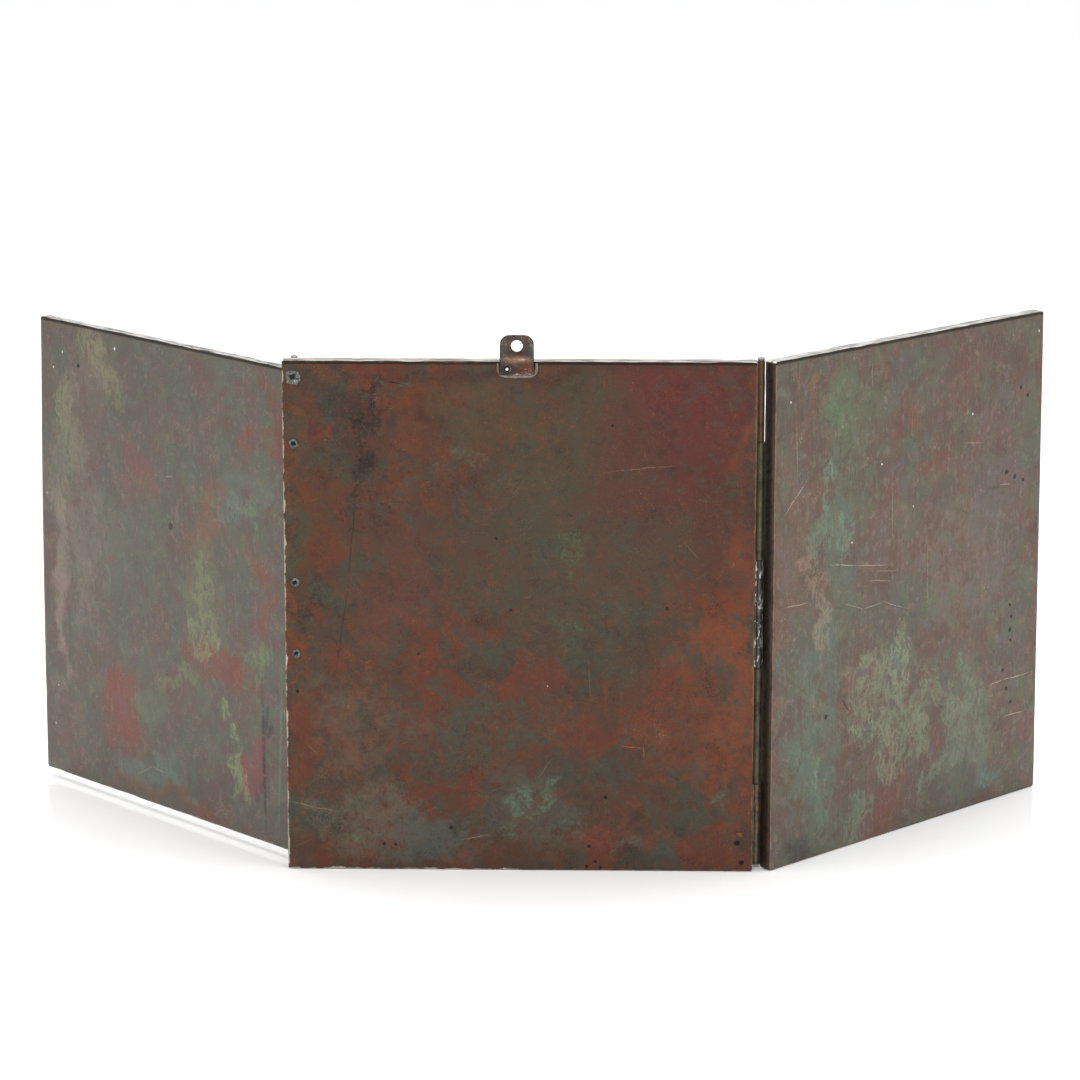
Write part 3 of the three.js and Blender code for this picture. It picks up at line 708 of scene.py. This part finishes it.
def worn_plate(plate, material, stains, salts):
    """The CAD plate, gently out of flat and with its arrises nicked."""
    seed = plate["seed"]
    to_plate = (Matrix.Translation(plate["origin"]) @ Matrix.Rotation(plate["turn"], 4, "Z")).inverted()
    bm = merged_copy(plate["node"])
    bmesh.ops.transform(bm, matrix=to_plate, verts=bm.verts)
    low = Vector([min(v.co[k] for v in bm.verts) for k in range(3)])
    high = Vector([max(v.co[k] for v in bm.verts) for k in range(3)])
    cut_into_cells(bm, low, high, CELL)
    middle_y = (low.y + high.y) / 2
    lay_colours(bm, "stain", stains, middle_y, (low.x + high.x) / MM, seed)
    lay_colours(bm, "salt", salts, middle_y, (low.x + high.x) / MM, seed + 20)
    for v in bm.verts:
        x, z = v.co.x, v.co.z
        # Waves about 36 and 11 mm long in the faces; bites about 8 and 2 mm long in the edges.
        wander = 0.7 * noise.noise(Vector((x * 28, seed, z * 28))) + 0.3 * noise.noise(
            Vector((x * 90, seed, z * 90)))
        bite = max(0.0, noise.noise(v.co * 120 + Vector((seed, 0, 0))) - 0.05)
        bite += 0.25 * max(0.0, noise.noise(v.co * 500))
        v.co.y += WARP * (wander - 0.5) * (1 if v.co.y > middle_y else -1)
        inside_x = min(x - low.x, high.x - x)
        inside_z = min(z - low.z, high.z - z)
        if inside_x < NICK_REACH:
            v.co.x += NICK * bite * (1 - inside_x / NICK_REACH) * (1 if x - low.x < high.x - x else -1)
        if inside_z < NICK_REACH:
            v.co.z += NICK * bite * (1 - inside_z / NICK_REACH) * (1 if z - low.z < high.z - z else -1)
    bmesh.ops.transform(bm, matrix=to_plate.inverted(), verts=bm.verts)
    finished(bm, plate["node"].replace("_plate", "_leaf"), material, plate["body"],
             [plate["node"]])


# The two edge colours of each wing are worn metal with a painted highlight, the lighter one on the hinge
# side.
left_patina = wing_patina("grey-mauve patinated bronze, left wing", LEFT_WING, "#5d5650", LEFT_SCRATCHES,
                          LEFT_PITS, worn_and_highlit=("#57504a", "#8f887a"), mottle=0.7, brushing=0.15)
right_patina = wing_patina("grey-mauve patinated bronze, right wing", RIGHT_WING, "#5f5047", RIGHT_SCRATCHES,
                           RIGHT_PITS, worn_and_highlit=("#8d6b5c", "#4c443e"), mottle=0.9, brushing=0.45)
worn_plate(CENTRE, centre_patina(), CENTRE_BLOOMS, CENTRE_CRUSTS)
worn_plate(LEFT_WING, left_patina, LEFT_BLOOMS, LEFT_CRUSTS)
worn_plate(RIGHT_WING, right_patina, RIGHT_BLOOMS, RIGHT_CRUSTS)


# --- hinges, rivets and lug ----------------------------------------------------------------------

# Dull warm brown, with a faint rubbed sheen down each barrel.
brown_barrel = metal("brown barrel bronze", "#735943", "#47382c", "#9a8060", 1.2, 0.5, 0.6)
# Greyer, with verdigris in its hollows.
green_barrel = metal("grey-green barrel bronze", "#67634f", "#3e3d33", "#a08a5e", 1.2, 0.5, 0.6)
# Dark, with bright chips of solder that catch the light.
soldered_barrel = metal("barrel bronze with solder chips", "#55544c", "#34332f", "#7d7c74", 1.0, 0.4, 0.6,
                        chips="#dcdbd3")
# Dark, and rubbed to yellow metal in patches.
brassy_barrel = metal("barrel bronze rubbed to brass", "#5f5c52", "#3d3b35", "#8d8a7e", 1.0, 0.4, 0.6,
                      chips="#a06a34")
# Grey and satin, a little lighter where fingers touch it.
pin_steel = metal("grey hinge pin steel", "#7c7c74", "#3c3a36", "#b9b8b0", 0.8)
# Pale grey and lumpy, duller than the bronze it holds.
solder = metal("dull grey solder", "#7d786b", "#55534a", "#b3ab98", 1.0)

BARRELS = {"right_knuckle_2": green_barrel, "right_knuckle_4": green_barrel,
           "right_knuckle_3": soldered_barrel, "right_knuckle_5": brassy_barrel}
for name, cad in frame["nodes"].items():
    if "knuckle" in name:
        cad.data.materials[0] = BARRELS.get(name, brown_barrel)
    elif "hinge_pin" in name:
        cad.data.materials[0] = pin_steel


def rivet_metal():
    """Riveted ends set in grey solder: dull and pocked, each with painted shade in its middle, a black disc
    in the dimple for a hole.
    """
    p = Patina("soldered rivet", "#5f635b", back=CENTRE_BACK / MM - 0.2)
    p.clouds(2.2, 0.45, 0.6, "#3b3e3a", 0.7, detail=5)
    p.clouds(0.9, 0.52, 0.66, "#a2a498", 0.7, detail=4)
    p.raise_by(p.mottle(0.8, 4), 0.3)
    x = LEFT_PIN.x / MM
    heights = [centre_of(f"left_rivet_{n}").z / MM for n in range(1, 5)]
    # Painted shade: a black disc in each rivet's dimple for the shade of a hole.
    p.dotted([(x, heights[0] + 0.3, 1.25)] + [(x, z, 0.85) for z in heights[1:]], "#111112", 0.97, -0.2)
    p.dotted([(x + 0.9, heights[0] - 1.7, 0.4), (x + 1.1, heights[1] - 1.1, 0.32)], "#d9ccb0", 0.8, 0.1)
    p.roughness = 0.45
    return p.finish(metallic=0.6)


def spun(profile, steps=40):
    """A profile of (radius, distance along -Y), spun a full turn about Y."""
    bm = bmesh.new()
    verts = [bm.verts.new((radius * MM, -along * MM, 0)) for radius, along in profile]
    edges = [bm.edges.new(pair) for pair in zip(verts, verts[1:])]
    bmesh.ops.spin(bm, geom=verts + edges, cent=(0, 0, 0), axis=(0, 1, 0), angle=2 * math.pi,
                   steps=steps, use_merge=True)
    bmesh.ops.remove_doubles(bm, verts=bm.verts, dist=0.002 * MM)
    bmesh.ops.recalc_face_normals(bm, faces=bm.faces)
    return bm


def lumpy(bm, amount, size, seed):
    """Pushes a surface about by up to 'amount' mm, in lumps 'size' mm across."""
    for v in bm.verts:
        push = Vector([noise.noise(v.co * (1 / (size * MM)) + Vector((seed, 3.7 * k, 0))) for k in range(3)])
        v.co += push * amount * MM


# Across a rivet's head from its dimple to its skirt in the plate: radius, height over the plate.
RING = [(0, 0.1), (0.5, 0.12), (0.85, 0.35), (1.1, 0.72), (1.5, 0.85), (1.85, 0.62), (2.05, 0.2), (2.1, -1.0),
        (0, -1.0)]
# Each head's size against the others, then its big and its small lumps in mm; the top one is a blob.
TOP_HEAD, PLAIN_HEAD = (1.65, 0.6, 0.35), (1.0, 0.35, 0.12)
rivet_finish = rivet_metal()
for number in range(1, 5):
    node = f"left_rivet_{number}"
    ring = spun(RING)
    size, big_lumps, small_lumps = TOP_HEAD if number == 1 else PLAIN_HEAD
    bmesh.ops.scale(ring, vec=(size, 1.0, size), verts=ring.verts)
    bmesh.ops.subdivide_edges(ring, edges=ring.edges, cuts=1, use_grid_fill=True)
    lumpy(ring, big_lumps, 3.4, number * 4.3)
    lumpy(ring, small_lumps, 0.9, number * 7.1)
    place = centre_of(node)
    place.y = CENTRE_BACK
    bmesh.ops.translate(ring, vec=place, verts=ring.verts)
    finished(ring, f"rivet_ring_{number}", rivet_finish, "centre", [node], smooth=70)

# The top barrel on the right is worn thinner than the others, so light shows past it.
SLIM = 1.72 * MM
BARREL_CUTS = 14
barrel = bmesh.new()
barrel_low, barrel_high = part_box("right_knuckle_1")
bmesh.ops.create_circle(barrel, cap_ends=False, radius=SLIM, segments=32)
rim = barrel.edges[:]
for cut in range(BARREL_CUTS):
    grown = bmesh.ops.extrude_edge_only(barrel, edges=rim)["geom"]
    rim = [e for e in grown if isinstance(e, bmesh.types.BMEdge)]
    bmesh.ops.translate(barrel, vec=(0, 0, (barrel_high.z - barrel_low.z) / BARREL_CUTS),
                        verts=[v for v in grown if isinstance(v, bmesh.types.BMVert)])
bmesh.ops.holes_fill(barrel, edges=[e for e in barrel.edges if e.is_boundary], sides=0)
bmesh.ops.recalc_face_normals(barrel, faces=barrel.faces)
lumpy(barrel, 0.12, 4, 8.1)
bmesh.ops.translate(barrel, vec=(RIGHT_PIN.x, RIGHT_PIN.y, barrel_low.z), verts=barrel.verts)
finished(barrel, "worn_top_barrel", brown_barrel, "centre", ["right_knuckle_1"], smooth=50)

LUG_CELL = 0.8 * MM
lug = merged_copy("hanging_lug")
sharp = [e for e in lug.edges if len(e.link_faces) == 2 and e.calc_face_angle(0) > math.radians(60)]
bmesh.ops.bevel(lug, geom=sharp, offset=0.5 * MM, offset_type="OFFSET", affect="EDGES", segments=3,
                profile=0.5, material=-1)
lug_low, lug_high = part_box("hanging_lug")
cut_into_cells(lug, lug_low, lug_high, LUG_CELL)
LUG_STAINS_AND_PAINTED_LIGHT = [
    (-7.5, 233, 2.4, 5, "#4a5047", 0.6, 0),
    (5.2, 232, 1.6, 6, "#454a44", 0.7, 0),
    (-1, 231.6, 6, 1.2, "#2f2724", 0.6, 0),
    # A painted highlight: the light band where the tab bends.
    (-1.2, 229.0, 5.5, 1.5, "#8a6a52", 0.8, 0),
    (4.4, 225.4, 2.6, 2.0, "#6b3022", 0.7, -20),
    # Painted shade on the lower part of the tab, under the bend: this patch and the next.
    (-5.2, 224.6, 3.6, 2.2, "#2b2826", 0.85, 0),
    (0.5, 224.4, 2.2, 2.0, "#4b2a20", 0.7, 0),
    (-1, 236.8, 6, 1.6, "#5a4a4a", 0.5, 0),
]
LUG_SALTS_AND_HIGHLIGHTS = [
    # A painted highlight: the paler middle of the light band where the tab bends.
    (-0.5, 229.2, 4.4, 0.8, "#b3957a", 0.8, -4),
    # A painted highlight: the pocket's lower rim catching light along the tab's foot.
    (0, 222.4, 6.5, 0.45, "#b08d80", 0.9, 3),
    (5.6, 234, 0.8, 3, "#6f7d70", 0.6, 0),
]
LUG_SWAY = 0.7  # mm that a stain's outline wanders, over about 2.5 mm
FLAT_ENOUGH = 0.97  # a face turned further from the plate than this is the dark rim


def lay_lug_colours(bm):
    """Stains a few millimetres across, among them a painted highlight band and painted shade, and a dark line
    round the tab and its hole.
    """
    bm.normal_update()
    for name, patches in (("stain", LUG_STAINS_AND_PAINTED_LIGHT), ("salt", LUG_SALTS_AND_HIGHLIGHTS)):
        layer = bm.verts.layers.float_color.new(name)
        for v in bm.verts:
            colour, cover = Vector((0, 0, 0)), 0.0
            for px, pz, half_x, half_z, code, strength, turn in patches:
                off = Vector((v.co.x / MM - px, v.co.z / MM - pz))
                off += Vector(noise.noise_vector(v.co * 400).xz) * LUG_SWAY
                off.rotate(Matrix.Rotation(-math.radians(turn), 2))
                share = strength * min(1, max(0, 1.5 - math.hypot(off.x / half_x, off.y / half_z)))
                if share > 0:
                    colour, cover = laid_over(colour, cover, code, share)
            if name == "stain" and abs(v.normal.y) < FLAT_ENOUGH:
                colour, cover = Vector(linear("#171312")[:3]), 1.0
            v[layer] = (*colour, cover)


def lug_patina():
    """Hammered bronze strip: brown with grey-green, a painted highlight band across it with painted shade
    below, satin with dark edges.
    """
    p = Patina("hammered lug bronze", "#4f3b34", back=lug_low.y / MM)
    p.clouds(3, 0.45, 0.62, "#3a3432", 0.6, detail=6)
    p.clouds(1.6, 0.52, 0.66, "#6d5348", 0.6, detail=6)
    # Here the stain and salt layers also carry painted highlights and painted shade.
    p.stains_and_salts(rough=0.45, veiled=0.9, ridged=0.0)
    p.speckled(0.7, 5, 0.6, 0.75, "#1a1716", 0.6, -0.06)
    p.speckled(0.7, 5, 0.64, 0.75, "#b9ab9a", 0.45, 0.04)
    # A dark dent with a painted glint in it: a near-white dot for the light caught by a small rivet.
    p.dotted([(-5.3, 225.0, 1.15)], "#121010", 0.95, -0.1)
    p.dotted([(-5.3, 225.0, 0.55)], "#f4f1ea", 0.97, 0.15)
    p.roughness = p.add("Math", [p.mottle(3, 4), 0.3, 0.2], operation="MULTIPLY_ADD")
    p.raise_by(p.mottle(4, 3), 0.3)
    return p.finish()


lay_lug_colours(lug)
finished(lug, "lug_tab", lug_patina(), "centre", ["hanging_lug"])


def bead(name, points, radius, material, body, seed):
    """A lumpy bead of solder along a line of places, each with its share of the radius."""
    curve = bpy.data.curves.new(name, "CURVE")
    curve.dimensions = "3D"
    line = curve.splines.new("NURBS")
    line.points.add(len(points) - 1)
    for point, (*place, share) in zip(line.points, points):
        point.co = (*place, 1)
        point.radius = share
    line.use_endpoint_u = True
    line.order_u = 3
    line.resolution_u = 8
    curve.bevel_depth = radius
    curve.bevel_resolution = 4
    curve.use_fill_caps = True
    holder = bpy.data.objects.new(name, curve)
    bm = bmesh.new()
    bm.from_mesh(bpy.data.meshes.new_from_object(holder))
    bpy.data.objects.remove(holder)
    bmesh.ops.remove_doubles(bm, verts=bm.verts, dist=0.002 * MM)
    bmesh.ops.recalc_face_normals(bm, faces=bm.faces)
    lumpy(bm, 0.3, 1.1, seed)
    finished(bm, name, material, body, smooth=60)


# Down the lug's left side, along its foot and up its right side.
foot = lug_low.z
edge_y = CENTRE_BACK - 0.5 * MM
left_x, right_x = lug_low.x - 0.2 * MM, lug_high.x + 0.2 * MM
top_z = CENTRE_HIGH.z
bead("lug_solder", [
    (left_x, edge_y, top_z - 0.8 * MM, 0.7),
    (left_x, edge_y, foot + 2.5 * MM, 1.0),
    (left_x + 1.2 * MM, edge_y, foot, 1.2),
    (left_x + 6 * MM, edge_y, foot - 0.5 * MM, 1.1),
    (right_x - 5 * MM, edge_y, foot - 0.4 * MM, 1.4),
    (right_x - 1.0 * MM, edge_y, foot + 0.2 * MM, 1.5),
    (right_x + 0.4 * MM, edge_y, foot + 2.5 * MM, 1.3),
    (right_x + 0.3 * MM, edge_y, top_z - 0.9 * MM, 0.8),
], 0.9 * MM, solder, "centre", 2.0)


# --- setting -------------------------------------------------------------------------------------

def stage_material(name, base, roughness):
    """White lacquered board: bright, with a soft sheen that mirrors what stands on it."""
    material = bpy.data.materials.new(name)
    material.use_nodes = True
    shader = material.node_tree.nodes["Principled BSDF"]
    shader.inputs["Base Color"].default_value = linear(base)
    shader.inputs["Roughness"].default_value = roughness
    return material


FLOOR_GAP = 0.1 * MM  # keeps the floor from flickering with the plates' lower faces
floor_mesh = bpy.data.meshes.new("floor")
floor_bm = bmesh.new()
bmesh.ops.create_grid(floor_bm, x_segments=1, y_segments=1, size=6)
bmesh.ops.translate(floor_bm, vec=(0, 0, cad_box[0][2] - FLOOR_GAP), verts=floor_bm.verts)
floor_bm.to_mesh(floor_mesh)
floor_bm.free()
floor = bpy.data.objects.new("floor", floor_mesh)
bpy.context.scene.collection.objects.link(floor)
floor_mesh.materials.append(stage_material("white lacquered board", "#fafafa", 0.12))

world = bpy.data.worlds.new("white studio")
bpy.context.scene.world = world
world.use_nodes = True
world.node_tree.nodes["Background"].inputs["Color"].default_value = (1, 1, 1, 1)
world.node_tree.nodes["Background"].inputs["Strength"].default_value = 1.0


def softbox(name, place, target, size, watts):
    """A rectangular soft light at a place, aimed at a target."""
    light = bpy.data.lights.new(name, "AREA")
    light.shape = "RECTANGLE"
    light.size, light.size_y = size
    light.energy = watts
    lamp = bpy.data.objects.new(name, light)
    lamp.location = place
    lamp.rotation_euler = (Vector(target) - Vector(place)).to_track_quat("-Z", "Y").to_euler()
    bpy.context.scene.collection.objects.link(lamp)


softbox("top softbox", (0, 0.1, 1.6), (0, 0, 0), (2.2, 2.0), 34)

# Behind the altarpiece and a little above it, looking down at its back through a long lens.
camera_data = bpy.data.cameras.new("camera")
camera = bpy.data.objects.new("camera", camera_data)
bpy.context.scene.collection.objects.link(camera)
bpy.context.scene.camera = camera
camera.location = (0.04226, -1.57075, 0.53347)
camera.rotation_euler = (math.radians(90 - 11.778), 0, math.radians(1.2207))
camera_data.lens = 124.57
camera_data.sensor_width = 36
camera_data.shift_y = -0.12
camera_data.clip_start = 0.02

bpy.context.scene.view_settings.view_transform = "Standard"
